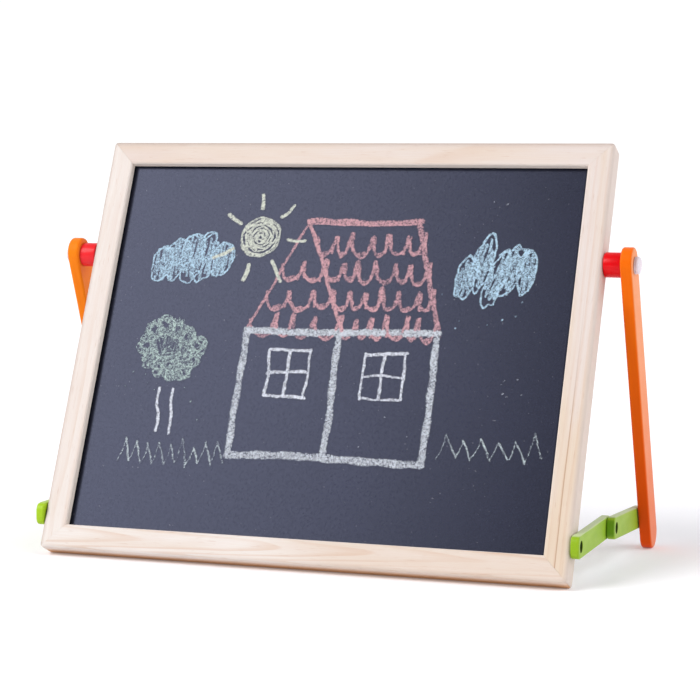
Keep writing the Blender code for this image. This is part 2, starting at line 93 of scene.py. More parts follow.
# Fixings
BOLT_RADIUS = 0.0030
SCREW_RADIUS = 0.0022
SCREW_HEAD_RADIUS = 0.0048
SCREW_HEAD_HEIGHT = 0.0024
SCREW_REACH = 0.0140
NUT_HEIGHT = 0.0031
HEAD_RIM = 0.0002
NUT_RIM = 0.0003
DRIVE_RADIUS = 0.0022
CLEARANCE = 0.0004
COUNTERBORE_RADIUS = 0.00525
COUNTERBORE_DEPTH = 0.0050
INSERT_POCKET_RADIUS = 0.0046
INSERT_POCKET_DEPTH = 0.0083
NUT_POCKET_DEPTH = 0.0040
MOUTH_CHAMFER = 0.0004
CAP_RADIUS = 0.0079
CAP_BASE_HEIGHT = 0.0010
CAP_BASE_RIM = 0.0003
CAP_HEIGHT = 0.0048
CAP_SKIRT = 0.0012
CAP_LAYER = 0.0290

# Camera: where it looks, from which side, from how far, and its lens on the sensor
CAMERA_TARGET = (0.05424, -0.12738, 0.20112)
CAMERA_AZIMUTH = 19.185
CAMERA_ELEVATION = 5.031
CAMERA_ROLL = 0.221
CAMERA_DISTANCE = 1.88574
CAMERA_LENS = 111.225
SENSOR_WIDTH = 36.0

FRAME_AXES = Matrix.Translation(FRAME_ORIGIN) @ Matrix.Rotation(math.radians(-LEAN), 4, "X")
SIDES = ((-1, "left"), (1, "right"))

# -------- meshes

def arc_corner(before, corner, after, radius):
    """The points that round one corner of an outline, with a support point on each flat beside it."""
    corner = Vector(corner)
    back = (Vector(before) - corner).normalized()
    ahead = (Vector(after) - corner).normalized()
    half = back.angle(ahead) / 2
    reach = radius / math.tan(half)
    centre = corner + (back + ahead).normalized() * radius / math.sin(half)
    first = corner + back * reach - centre
    last = corner + ahead * reach - centre
    sweep = first.angle(last)
    points = [corner + back * (reach + CORNER_SUPPORT)]
    for step in range(CORNER_STEPS + 1):
        share = step / CORNER_STEPS
        turned = first * math.sin((1 - share) * sweep) + last * math.sin(share * sweep)
        points.append(centre + turned / math.sin(sweep))
    points.append(corner + ahead * (reach + CORNER_SUPPORT))
    return points

def rounded_outline(corners):
    """An outline from (y, z, radius) corners, each of them rounded, or left sharp at radius 0."""
    points = []
    for index, (y, z, radius) in enumerate(corners):
        if radius:
            before = corners[index - 1][:2]
            after = corners[(index + 1) % len(corners)][:2]
            points += arc_corner(before, (y, z), after, radius)
        else:
            points.append(Vector((y, z)))
    return points

def loft(name, rings):
    """A skin over rings of points that all have the same count, with its two ends closed."""
    count = len(rings[0])
    points = [tuple(point) for ring in rings for point in ring]
    faces = []
    for level in range(len(rings) - 1):
        low = level * count
        for index in range(count):
            following = (index + 1) % count
            faces.append((low + index, low + following, low + count + following, low + count + index))
    faces.append(tuple(reversed(range(count))))
    faces.append(tuple(range(len(points) - count, len(points))))
    mesh = bpy.data.meshes.new(name)
    mesh.from_pydata(points, [], faces)
    mesh.validate()
    return mesh

def lathe(name, profile, sides=64):
    """A turned solid about Z, from a (radius, height) profile that starts and ends on the axis."""
    rings = []
    for radius, height in profile[1:-1]:
        angles = [2 * math.pi * index / sides for index in range(sides)]
        rings.append([(radius * math.cos(a), radius * math.sin(a), height) for a in angles])
    return loft(name, rings)

def add_object(name, data, place):
    made = bpy.data.objects.new(name, data)
    bpy.context.scene.collection.objects.link(made)
    made.matrix_world = place
    return made

def add_piece(name, mesh, place, smooth_angle=40):
    """An object of that mesh, smooth but for edges sharper than smooth_angle."""
    mesh.polygons.foreach_set("use_smooth", [True] * len(mesh.polygons))
    piece = add_object(name, mesh, place)
    mesh.set_sharp_from_angle(angle=math.radians(smooth_angle))
    return piece

def cut(piece, *tools):
    """Cuts the tools out of the piece and removes them."""
    for tool in tools:
        cutter = piece.modifiers.new("cut", "BOOLEAN")
        cutter.operation = "DIFFERENCE"
        cutter.solver = "EXACT"
        cutter.object = tool
    evaluated = piece.evaluated_get(bpy.context.evaluated_depsgraph_get())
    mesh = bpy.data.meshes.new_from_object(evaluated)
    piece.modifiers.clear()
    piece.data = mesh
    mesh.set_sharp_from_angle(angle=math.radians(40))
    for tool in tools:
        bpy.data.objects.remove(tool)
    return piece

def finish_piece(piece, body, material, slot, *nodes):
    """Gives the piece its finish and its moving body, and hides the CAD nodes it stands for; slot is not
    used.
    """
    piece.data.materials.clear()
    piece.data.materials.append(material)
    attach(piece, body)
    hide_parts(*nodes)
    return piece

# -------- materials

class Nodes:
    """A node tree, with short calls for the nodes that the finishes and the sky share."""

    def __init__(self, tree):
        self.tree = tree

    def node(self, kind):
        return self.tree.nodes.new("ShaderNode" + kind)

    def feed(self, socket, value):
        if isinstance(value, bpy.types.NodeSocket):
            self.tree.links.new(value, socket)
        else:
            socket.default_value = value

    def math(self, operation, first, second=0.0, clamp=False):
        node = self.node("Math")
        node.operation = operation
        node.use_clamp = clamp
        self.feed(node.inputs[0], first)
        self.feed(node.inputs[1], second)
        return node.outputs[0]

    def plus(self, first, second):
        return self.math("ADD", first, second)

    def minus(self, first, second):
        return self.math("SUBTRACT", first, second)

    def times(self, first, second):
        return self.math("MULTIPLY", first, second)

    def parts(self, place):
        """The X, Y and Z of a place or direction."""
        split = self.node("SeparateXYZ")
        self.feed(split.inputs[0], place)
        return split.outputs

    def vector(self, operation, first, second=(0.0, 0.0, 0.0)):
        node = self.node("VectorMath")
        node.operation = operation
        self.feed(node.inputs[0], first)
        self.feed(node.inputs[1], second)
        return node.outputs["Value" if operation in ("LENGTH", "DOT_PRODUCT") else "Vector"]

    def fit(self, value, low, high, to_low=0.0, to_high=1.0):
        """The value mapped smoothly from low..high onto to_low..to_high."""
        node = self.node("MapRange")
        node.interpolation_type = "SMOOTHSTEP"
        given = {"Value": value, "From Min": low, "From Max": high, "To Min": to_low, "To Max": to_high}
        for name, number in given.items():
            self.feed(node.inputs[name], number)
        return node.outputs["Result"]

    def mix(self, share, first, second):
        node = self.node("Mix")
        node.data_type = "RGBA"
        self.feed(node.inputs[0], share)
        self.feed(node.inputs[6], first)
        self.feed(node.inputs[7], second)
        return node.outputs[2]

    def bump(self, height, distance, strength=1.0, after=None):
        node = self.node("Bump")
        node.inputs["Strength"].default_value = strength
        node.inputs["Distance"].default_value = distance
        self.feed(node.inputs["Height"], height)
        if after is not None:
            self.feed(node.inputs["Normal"], after)
        return node.outputs["Normal"]

class Finish(Nodes):
    """One material, textured by the place on its object in the object's own axes."""

    def __init__(self, name):
        self.material = bpy.data.materials.new(name)
        self.material.use_nodes = True
        super().__init__(self.material.node_tree)
        self.local = self.node("TexCoord").outputs["Object"]

    def set(self, **inputs):
        shader = self.tree.nodes["Principled BSDF"]
        for name, value in inputs.items():
            self.feed(shader.inputs[name.replace("_", " ")], value)

    def noise(self, stretch, detail=3.0, roughness=0.5, shift=0.0):
        """Noise with that many cells per metre along each of the object's own axes."""
        node = self.node("TexNoise")
        scaled = self.vector("MULTIPLY", self.local, stretch)
        self.feed(node.inputs["Vector"], self.vector("ADD", scaled, (shift, shift, shift)))
        node.inputs["Scale"].default_value = 1.0
        node.inputs["Detail"].default_value = detail
        node.inputs["Roughness"].default_value = roughness
        return node.outputs["Fac"]

def srgb(red, green, blue):
    """A colour given as 0..255 display values, as the linear colour a shader takes."""
    linear = []
    for value in (red, green, blue):
        share = value / 255
        linear.append(share / 12.92 if share <= 0.04045 else ((share + 0.055) / 1.055) ** 2.4)
    return (*linear, 1.0)

def pine(
    name, heart, spacing, slope, seed, strength, drift, pale, warm, edge, edge_width,
    edge_from=-EDGE_SHADE_RISE, vein=None,
):
    """Planed pine. heart is the tree's centre (y, z) in the rail's axes, spacing the ring width.

    pale and warm are its two ground colours, and drift says how fast it warms along the rail. edge is
    the colour of a painted shade along the rounded outer edge, growing with depth into the frame. vein
    is how far in from that edge one dark growth line runs.
    """
    f = Finish(name)
    along, depth, inward = f.parts(f.local)
    across = f.minus(depth, heart[0])
    up = f.minus(inward, heart[1])
    radius = f.math("SQRT", f.plus(f.times(across, across), f.times(up, up)))
    sway = f.minus(f.noise((5.0, 22.0, 22.0), 2.0, 0.4, seed), 0.5)
    radius = f.plus(radius, f.times(sway, spacing * 2.2))
    radius = f.plus(radius, f.times(along, slope))
    phase = f.math("FRACT", f.math("DIVIDE", radius, spacing))
    late = f.times(f.fit(phase, 0.40, 0.86), f.fit(phase, 1.0, 0.90))
    uneven = f.fit(f.noise((4.0, 60.0, 60.0), 2.0, 0.5, seed + 7.0), 0.35, 0.65, 0.25, 1.0)
    late = f.times(late, uneven)
    fibre = f.noise((28.0, 1500.0, 1500.0), 3.0, 0.6, seed + 3.0)
    fleck = f.fit(f.noise((70.0, 1300.0, 1300.0), 1.0, 0.4, seed + 11.0), 0.66, 0.74)
    cloud = f.plus(f.noise((6.0, 45.0, 45.0), 2.0, 0.5, seed + 19.0), f.times(along, drift))
    colour = f.mix(f.fit(cloud, 0.3, 0.7), pale, warm)
    colour = f.mix(f.times(late, strength), colour, PINE_LATE)
    colour = f.mix(f.fit(fibre, 0.30, 0.75, 0.14, 0.0), colour, PINE_LATE)
    colour = f.mix(f.times(fleck, 0.30), colour, PINE_FLECK)
    if vein:
        off_line = f.math("ABSOLUTE", f.minus(f.plus(inward, f.times(sway, 0.006)), vein))
        near_line = f.fit(off_line, 0.0002, 0.0009, 0.60, 0.0)
        colour = f.mix(f.times(near_line, f.fit(along, -0.10, 0.08, 1.0, 0.0)), colour, PINE_VEIN)
    # Painted shade along the rounded outer edge, stronger deeper into the frame
    deeper = f.fit(depth, edge_from, edge_from + EDGE_SHADE_RISE, 0.05, 1.0)
    colour = f.mix(f.times(f.fit(inward, 0.0002, edge_width, 0.85, 0.0), deeper), colour, edge)
    # Painted light: the moulding turns lighter towards its inner corner by the board, standing in for
    # light on the recess wall
    inner_wall_light = f.fit(inward, RAIL_FACE - 0.0010, RAIL_FACE - 0.0002, 0.0, 0.85)
    colour = f.mix(inner_wall_light, colour, PINE_WALL_LIGHT)
    f.set(Base_Color=colour, Roughness=f.fit(fibre, 0.2, 0.8, 0.60, 0.48))
    f.set(Normal=f.bump(fibre, 0.00005, 0.5, f.bump(late, 0.00006, 0.5)))
    f.set(Specular_IOR_Level=0.35)
    return f.material

def leg_tint(foot):
    """A leg's colour: painted shade of colour foot towards its foot, and a painted sheen that makes its
    outward face paler.
    """
    def tint(f, painted):
        along, _, outward = f.parts(f.local)
        # Painted shade, growing towards the foot
        painted = f.mix(f.fit(along, 0.02, LEG_LENGTH), painted, foot)
        # Painted sheen on the outward face, fading towards the foot
        face = f.fit(outward, LEG_THICKNESS - 0.0010, LEG_THICKNESS - 0.0002)
        return f.mix(f.times(face, f.fit(along, 0.0, LEG_LENGTH, 0.9, 0.4)), painted, ORANGE_PAINTED_SHEEN)

    return tint

def link_tint(rim, end=None):
    """A link's colour: a painted sheen by rim on its long edges, painted shade of colour end on its near
    end, and painted shade in its hole.
    """
    def tint(f, painted):
        along, across, _ = f.parts(f.local)
        half = LINK_WIDTH / 2
        # Painted sheen along the long edges, where the top faces catch the sky
        painted_sheen = f.fit(f.math("ABSOLUTE", across), half - 0.0012, half - 0.0002, 0.0, rim)
        painted = f.mix(painted_sheen, painted, GREEN_PAINTED_SHEEN)
        if end:
            # Painted shade on the near end
            painted = f.mix(f.fit(along, 0.0004 - half, 0.0022 - half, 0.8, 0.0), painted, end)
        # Painted shade inside the counterbore
        from_hole = f.vector("LENGTH", f.vector("MULTIPLY", f.local, (1.0, 1.0, 0.0)))
        hole_shade = f.fit(from_hole, COUNTERBORE_RADIUS, COUNTERBORE_RADIUS + 0.0002, 0.9, 0.0)
        return f.mix(hole_shade, painted, BORE_SHADE)

    return tint

def paint(name, colour, deep, tint=None, roughness=0.42, coat=0.0, sheen=0.25, gloss=0.08):
    """Satin paint on beech: the wood's fibres still show in the film, and it gathers in the hollows."""
    f = Finish(name)
    fibre = f.noise((30.0, 900.0, 900.0), 3.0, 0.55, 5.0)
    pores = f.fit(f.noise((160.0, 1900.0, 1900.0), 1.0, 0.4, 2.0), 0.64, 0.74)
    cloud = f.noise((35.0, 90.0, 90.0), 3.0, 0.5, 9.0)
    shade = f.plus(f.fit(fibre, 0.25, 0.75, 0.0, 0.22), f.fit(cloud, 0.3, 0.7, 0.0, 0.22))
    shade = f.math("ADD", shade, f.times(pores, 0.25), clamp=True)
    painted = f.mix(shade, colour, deep)
    if tint:
        painted = tint(f, painted)
    f.set(Base_Color=painted, Roughness=f.fit(cloud, 0.3, 0.7, roughness, roughness + 0.1))
    f.set(Normal=f.bump(f.minus(fibre, f.times(pores, 0.5)), 0.00006, 0.6))
    f.set(Coat_Weight=coat, Coat_Roughness=0.25, Specular_IOR_Level=gloss)
    f.set(Sheen_Weight=sheen, Sheen_Roughness=0.35)
    return f.material

def metal(name, colour, dull, roughness):
    """Plated or turned metal: fine lathe lines about its own axis and a slightly uneven sheen."""
    f = Finish(name)
    cloud = f.noise((500.0, 500.0, 500.0), 3.0, 0.5, 4.0)
    lines = f.noise((150.0, 150.0, 9000.0), 2.0, 0.5, 8.0)
    f.set(Base_Color=f.mix(f.fit(cloud, 0.3, 0.7), colour, dull), Metallic=1.0)
    f.set(Roughness=f.fit(cloud, 0.3, 0.7, roughness, roughness + 0.15))
    f.set(Normal=f.bump(lines, 0.00001, 0.5))
    return f.material

def clear_plastic(name):
    """The milky moulded plastic of the bolt caps."""
    f = Finish(name)
    cloud = f.noise((900.0, 900.0, 900.0), 3.0, 0.5, 6.0)
    f.set(Base_Color=f.mix(cloud, CAP_PALE, CAP_SHADE), Roughness=f.fit(cloud, 0.3, 0.7, 0.20, 0.28))
    f.set(Normal=f.bump(cloud, 0.00001, 0.2), Transmission_Weight=0.12, IOR=1.49)
    return f.material

def chalkboard(name, drawn=False):
    """Matt board paint, faintly smeared by old chalk, with painted shade along its upper and side edges.

    A drawn one also carries the piece's chalk.
    """
    f = Finish(name)
    tooth = f.noise((2600.0, 2600.0, 2600.0), 2.0, 0.6, 1.0)
    smear = f.noise((14.0, 14.0, 9.0), 4.0, 0.55, 3.0)
    wipe = f.noise((9.0, 160.0, 160.0), 3.0, 0.5, 12.0)
    haze = f.times(f.fit(smear, 0.35, 0.75), f.fit(wipe, 0.3, 0.8, 0.4, 1.0))
    mottle = f.noise((420.0, 420.0, 420.0), 2.0, 0.6, 31.0)
    specks = f.fit(f.noise((560.0, 560.0, 560.0), 0.0, 0.5, 17.0), 0.835, 0.87)
    colour = f.mix(haze, BOARD_DARK, BOARD_HAZE)
    colour = f.mix(f.times(specks, 0.35), colour, BOARD_SPECK)
    rough = f.plus(f.fit(tooth, 0.2, 0.8, 0.20, 0.26), f.fit(mottle, 0.3, 0.7, 0.0, 0.05))
    # Painted shade: the board is darkened and roughened in a band beside the left, right and upper rails
    painted_shade = 0.0
    for axis, start, width in BOARD_SHADE_BANDS:
        from_edge = f.minus(f.vector("DOT_PRODUCT", f.local, axis), start)
        painted_shade = f.math("MAXIMUM", f.fit(from_edge, 0.0, width, 1.0, 0.0), painted_shade)
    colour = f.mix(f.times(painted_shade, 0.8), colour, BOARD_SHADE)
    rough = f.plus(f.times(painted_shade, 0.7), rough)
    if drawn:
        chalk = f.node("VertexColor")
        chalk.layer_name = "chalk"
        grain = f.fit(f.noise((1650.0, 1650.0, 1650.0), 1.0, 0.6, 21.0), 0.30, 0.70)
        patch = f.fit(f.noise((420.0, 420.0, 420.0), 2.0, 0.6, 25.0), 0.30, 0.70)
        bare = f.plus(f.times(grain, 0.66), f.times(patch, 0.34))
        amount = chalk.outputs["Alpha"]
        cover = f.times(f.fit(f.minus(amount, bare), -0.11, 0.31), f.fit(amount, 0.02, 0.20))
        thick = f.times(cover, f.fit(patch, 0.0, 1.0, 0.98, 0.82))
        colour = f.mix(thick, colour, chalk.outputs["Color"])
        rough = f.plus(f.times(cover, 0.4), rough)
    f.set(Base_Color=colour, Roughness=rough)
    f.set(Normal=f.bump(tooth, 0.00003, 0.35, f.bump(mottle, 0.00005, 0.12)))
    f.set(Specular_IOR_Level=0.36, Specular_Tint=BOARD_GLARE)
    return f.material

def whiteboard(name):
    """Glossy white lacquer with a little orange peel."""
    f = Finish(name)
    peel = f.noise((240.0, 240.0, 240.0), 2.0, 0.5, 2.0)
    wipe = f.noise((12.0, 12.0, 12.0), 4.0, 0.55, 6.0)
    f.set(Base_Color=f.mix(f.fit(wipe, 0.3, 0.7), WHITE_PALE, WHITE_GREY))
    f.set(Roughness=f.fit(wipe, 0.3, 0.7, 0.13, 0.15), Normal=f.bump(peel, 0.00004, 0.25))
    f.set(Coat_Weight=0.3)
    return f.material

def fibreboard(name, light, dark):
    """Raw board or dowel stock that only shows at a joint."""
    f = Finish(name)
    fibre = f.noise((160.0, 900.0, 900.0), 4.0, 0.6, 2.0)
    f.set(Base_Color=f.mix(f.fit(fibre, 0.3, 0.7), light, dark))
    f.set(Roughness=f.fit(fibre, 0.2, 0.8, 0.8, 0.65))
    f.set(Normal=f.bump(fibre, 0.0001, 0.4))
    return f.material

PINE_WHITE = srgb(226, 220, 216)
PINE_ROSE = srgb(218, 208, 204)
PINE_PALE = srgb(222, 213, 208)
PINE_WARM = srgb(217, 203, 192)
PINE_YELLOW = srgb(216, 199, 180)
# Painted shade along the rails' rounded outer edges; under the bottom rail it is warm, as shade lit by
# bounced light
PINE_EDGE_SHADE = srgb(186, 170, 162)
PINE_UNDERSIDE_SHADE = srgb(206, 146, 88)
PINE_SOFT_EDGE_SHADE = srgb(208, 193, 184)
# Painted light on the rails' inner corners by the board
PINE_WALL_LIGHT = srgb(246, 234, 224)
PINE_VEIN = srgb(166, 122, 92)
# Painted shade inside the links' counterbores
BORE_SHADE = srgb(14, 34, 2)
PINE_LATE = srgb(196, 148, 108)
PINE_FLECK = srgb(176, 122, 84)
CAP_PALE = srgb(244, 232, 240)
CAP_SHADE = srgb(236, 222, 232)
BOARD_DARK = srgb(5, 5, 20)
BOARD_HAZE = srgb(10, 10, 28)
BOARD_GLARE = srgb(205, 214, 255)
BOARD_SPECK = srgb(150, 150, 152)
# Painted shade on the board beside the rails: its colour, and each band's direction, start and width
BOARD_SHADE = srgb(2, 2, 6)
BOARD_SIDE = FRAME_WIDTH / 2 - RAIL_FACE
BOARD_UP = FRAME_AXES.to_3x3() @ Vector((0, 0, 1))
BOARD_TOP = FRAME_AXES.translation.dot(BOARD_UP) + FRAME_HEIGHT - RAIL_FACE
BOARD_SHADE_BANDS = (
    ((1, 0, 0), -BOARD_SIDE, 0.0065),
    ((-1, 0, 0), -BOARD_SIDE, 0.0045),
    (-BOARD_UP, -BOARD_TOP, 0.0035),
)
WHITE_PALE = srgb(247, 247, 245)
WHITE_GREY = srgb(244, 244, 243)
ORANGE = srgb(241, 110, 0)
ORANGE_DEEP = srgb(228, 90, 0)
# Painted shade towards the leg's foot, and a painted sheen on its outward face
ORANGE_FOOT_SHADE = srgb(228, 78, 0)
ORANGE_PAINTED_SHEEN = srgb(236, 147, 88)
# Painted sheen on the links' long edges, and painted shade on a leg link's near end
GREEN_PAINTED_SHEEN = srgb(204, 214, 176)
GREEN_SHADED = srgb(96, 146, 0)
# Painted light: lighter copies of the paints for the left side
ORANGE_LIT = srgb(246, 134, 20)
GREEN_LIT = srgb(166, 204, 20)
RED_LIT = srgb(236, 46, 52)
GREEN = srgb(145, 180, 6)
GREEN_DEEP = srgb(122, 162, 0)
RED = srgb(226, 4, 16)
RED_DEEP = srgb(190, 1, 9)

SECTION = (
    (0.0, 0.0, EDGE_ROUND),
    (FRAME_DEPTH, 0.0, EDGE_ROUND),
    (FRAME_DEPTH, RAIL_FACE, INNER_ROUND),
    (FRAME_DEPTH - BOARD_RECESS, RAIL_FACE, LIP_ROUND),
    (FRAME_DEPTH - BOARD_RECESS, RAIL_FACE - GROOVE_DEPTH, 0.0),
    (BOARD_RECESS, RAIL_FACE - GROOVE_DEPTH, 0.0),
    (BOARD_RECESS, RAIL_FACE, LIP_ROUND),
    (0.0, RAIL_FACE, INNER_ROUND),
)

# -------- the wooden frame

def on_rounded_box(point, size, radius):
    """The point, brought back onto a box with rounded edges if it lies outside of it."""
    nearest = [min(max(value, radius), span - radius) for value, span in zip(point, size)]
    away = Vector(point) - Vector(nearest)
    if away.length > radius:
        return Vector(nearest) + away.normalized() * radius
    return Vector(point)

def rail_mesh(name, span, reach):
    """A mitred moulding on its own axes: X along it, Y into the frame, Z from its outer edge inwards."""
    section = rounded_outline(SECTION)
    near = [EDGE_ROUND * 1.4 * (step / 10) for step in range(11)]
    far = [0.03, 0.08]
    steps = [1 - 2 * distance / span for distance in near + far]
    stations = [-s for s in steps] + [0.0] + list(reversed(steps))
    size = (span, FRAME_DEPTH, reach)
    rings = []
    for station in stations:
        ring = []
        for y, z in section:
            x = station * (span / 2 - z - MITRE_GAP) + span / 2
            moved = on_rounded_box((x, y, z), size, EDGE_ROUND)
            ring.append((moved.x - span / 2, moved.y, moved.z))
        rings.append(ring)
    return loft(name, rings)

def add_rail(name, span, reach, angle, x, z, **grain):
    place = FRAME_AXES @ Matrix.Translation((x, 0.0, z)) @ Matrix.Rotation(math.radians(angle), 4, "Y")
    rail = add_piece("pine_" + name, rail_mesh(name, span, reach), place, 50)
    finish_piece(rail, "frame", pine("pine_" + name, **grain), "pine", name)

add_rail(
    "bottom_rail", FRAME_WIDTH, FRAME_HEIGHT, 0, 0.0, 0.0,
    heart=(0.030, 0.014), spacing=0.0011, slope=0.012, seed=3.0, strength=0.34, drift=1.0,
    pale=PINE_WHITE, warm=PINE_WARM, edge=PINE_UNDERSIDE_SHADE, edge_width=0.0030, edge_from=0.003,
)
add_rail(
    "top_rail", FRAME_WIDTH, FRAME_HEIGHT, 180, 0.0, FRAME_HEIGHT,
    heart=(0.09, 0.02), spacing=0.0050, slope=0.012, seed=8.0, strength=0.16, drift=0.3,
    pale=PINE_ROSE, warm=PINE_WARM, edge=PINE_EDGE_SHADE, edge_width=0.0066,
)
add_rail(
    "left_stile", FRAME_HEIGHT, FRAME_WIDTH, 90, -FRAME_WIDTH / 2, FRAME_HEIGHT / 2,
    heart=(0.08, -0.02), spacing=0.0040, slope=0.010, seed=14.0, strength=0.18, drift=0.0,
    pale=PINE_WHITE, warm=PINE_PALE, edge=PINE_EDGE_SHADE, edge_width=0.0048,
)
add_rail(
    "right_stile", FRAME_HEIGHT, FRAME_WIDTH, -90, FRAME_WIDTH / 2, FRAME_HEIGHT / 2,
    heart=(0.06, -0.05), spacing=0.0048, slope=0.008, seed=23.0, strength=0.20, drift=-1.0, vein=0.0120,
    pale=PINE_ROSE, warm=PINE_YELLOW, edge=PINE_SOFT_EDGE_SHADE, edge_width=0.0055,
)

# -------- legs, links and their fixings

def plate_mesh(name, width, length, thickness, radius, head=0.0, end_power=1.0):
    """A bar with round ends: X from head before the origin to length, Z through it, edges rounded.

    Its ends are half circles, or squarer where end_power is below 1.
    """
    def ring(inset, height):
        reach = width / 2 - inset
        far = []
        near = []
        for step in range(PLATE_END_STEPS + 1):
            angle = math.pi * step / PLATE_END_STEPS - math.pi / 2
            along = reach * abs(math.cos(angle)) ** end_power
            across = math.copysign(reach * abs(math.sin(angle)) ** end_power, math.sin(angle))
            far.append((length + along, across, height))
            near.append((-head - along, -across, height))
        return far + near

    arc = [math.radians(90 * step / 6) for step in range(7)]
    low = [(radius * (1 - math.sin(a)), radius * (1 - math.cos(a))) for a in arc]
    levels = [(radius + 0.0005, 0.0)] + low
    levels += [(0.0, radius + 0.0003), (0.0, thickness - radius - 0.0003)]
    levels += [(inset, thickness - height) for inset, height in reversed(levels[:8])]
    return loft(name, [ring(inset, height) for inset, height in levels])

def bore(name, radius, low, high, place, open_low=True, open_high=True):
    """A cutter for a hole from low to high, with a small chamfer at each open mouth."""
    c = MOUTH_CHAMFER
    profile = [(0, low - c if open_low else low)]
    if open_low:
        profile += [(radius + 2 * c, low - c), (radius, low + c)]
    else:
        profile += [(radius, low)]
    if open_high:
        profile += [(radius, high - c), (radius + 2 * c, high + c)]
    else:
        profile += [(radius, high)]
    profile += [(0, high + c if open_high else high)]
    return add_piece(name, lathe(name, profile, 48), place)

def side_place(side, layer, y, z, turn):
    """Axes for a side part: Z outwards from the frame's side, X turned down from +Y by turn degrees."""
    along = Vector((0.0, math.cos(math.radians(turn)), -math.sin(math.radians(turn))))
    out = Vector((side, 0.0, 0.0))
    place = Matrix((along, out.cross(along), out)).transposed().to_4x4()
    place.translation = (side * (FRAME_WIDTH / 2 + layer), y, z)
    return place

def raised(place, height):
    """The same axes, moved outwards by that height."""
    return place @ Matrix.Translation((0, 0, height))

def pan_head(name, length, place):
    """A screw with a hex drive: its head's flat underside at z = 0 and its shank running down."""
    head, height, shank = SCREW_HEAD_RADIUS, SCREW_HEAD_HEIGHT, SCREW_RADIUS
    profile = [(0, -length), (shank * 0.6, -length), (shank, -length + shank * 0.4), (shank, 0.0)]
    profile += [(head - HEAD_RIM, 0.0), (head, HEAD_RIM)]
    for a in (0.0, 0.3, 0.6, 0.9, 1.2):
        profile.append((head * math.cos(a), height * (0.40 + 0.60 * math.sin(a))))
    screw = add_piece(name, lathe(name, profile + [(0, height)], 48), place)
    low, high = height * 0.25, height * 2
    drive = lathe("drive", [(0, low), (DRIVE_RADIUS, low), (DRIVE_RADIUS, high), (0, high)], 6)
    return cut(screw, add_piece("drive", drive, place))

def hex_nut(name, place):
    """A hex nut with its bore, standing on z = 0, its corners cut back at both faces."""
    radius, height, rim = SCREW_HEAD_RADIUS, NUT_HEIGHT, NUT_RIM
    profile = [(0, 0), (radius - rim, 0), (radius, rim)]
    profile += [(r, height - low) for r, low in reversed(profile)]
    nut = add_piece(name, lathe(name, profile, 6), place, 20)
    return cut(nut, bore("hole", SCREW_RADIUS + CLEARANCE, 0.0, height, place))

def dome_profile():
    """The bolt cap: a short upright skirt, then a dome."""
    profile = [(0, 0), (CAP_RADIUS - HEAD_RIM, 0), (CAP_RADIUS, HEAD_RIM), (CAP_RADIUS, CAP_SKIRT)]
    for step in range(1, 12):
        a = math.radians(90 * step / 12)
        profile.append((CAP_RADIUS * math.cos(a), CAP_SKIRT + (CAP_HEIGHT - CAP_SKIRT) * math.sin(a)))
    return profile + [(0, CAP_HEIGHT)]

def turned_rim(radius, length, rim):
    """The profile of a turned disc or sleeve with both rims rounded."""
    steps = [math.radians(90 * step / 5) for step in range(6)]
    low = [(0, 0), (radius - rim - 0.0004, 0)]
    low += [(radius - rim + rim * math.sin(a), rim - rim * math.cos(a)) for a in steps]
    return low + [(r, length - height) for r, height in reversed(low)]

def side_paints(suffix, orange, foot, green, red, rim):
    """One side's paint for leg, frame link, spacer and leg link, each from a (colour, deep) pair."""
    green_film = {"sheen": 0.12, "gloss": 0.35}
    return (
        paint("orange_paint" + suffix, *orange, leg_tint(foot), sheen=0.28),
        paint("green_paint" + suffix, *green, link_tint(rim), **green_film),
        paint("red_paint" + suffix, *red, roughness=0.26, coat=0.25, sheen=0.04),
        paint("green_paint_shaded" + suffix, *green, link_tint(rim, GREEN_SHADED), **green_film),
    )

# Painted light: the left side gets lit copies of the same paints, with less painted sheen on its link
# edges
PAINTS = {
    "right": side_paints(
        "", (ORANGE, ORANGE_DEEP), ORANGE_FOOT_SHADE, (GREEN, GREEN_DEEP), (RED, RED_DEEP), 0.65
    ),
    "left": side_paints("_lit", (ORANGE_LIT, ORANGE), ORANGE_LIT, (GREEN_LIT, GREEN), (RED_LIT, RED), 0.1),
}
ZINC = metal("zinc_steel", srgb(176, 178, 184), srgb(140, 142, 150), 0.32)
BRASS = metal("brass", srgb(206, 172, 96), srgb(176, 140, 70), 0.34)
CLEAR = clear_plastic("clear_plastic")

def add_link(side, label, kind, length, axis, far_pocket, material):
    """A link, counterbored at its origin and with a pocket under the hole at its far end.

    axis is where its first pin is and how far it slopes down. Returns its axes at both pins.
    """
    place = side_place(side, *axis)
    far = place @ Matrix.Translation((length, 0, 0))
    bar = plate_mesh("link", LINK_WIDTH, length, LINK_THICKNESS, LINK_ROUND, end_power=LINK_END_POWER)
    link = add_piece(label + "_green_" + kind, bar, place)
    shank = SCREW_RADIUS + CLEARANCE
    seat = LINK_THICKNESS - COUNTERBORE_DEPTH
    cut(
        link,
        bore("hole", shank, 0.0, LINK_THICKNESS, place),
        bore("hole", COUNTERBORE_RADIUS, seat, LINK_THICKNESS, place, open_low=False),
        bore("hole", shank, 0.0, LINK_THICKNESS, far),
        bore("hole", COUNTERBORE_RADIUS, 0.0, far_pocket, far, open_high=False),
    )
    finish_piece(link, label + "_" + kind, material, "green_paint", label + "_" + kind)
    return place, far

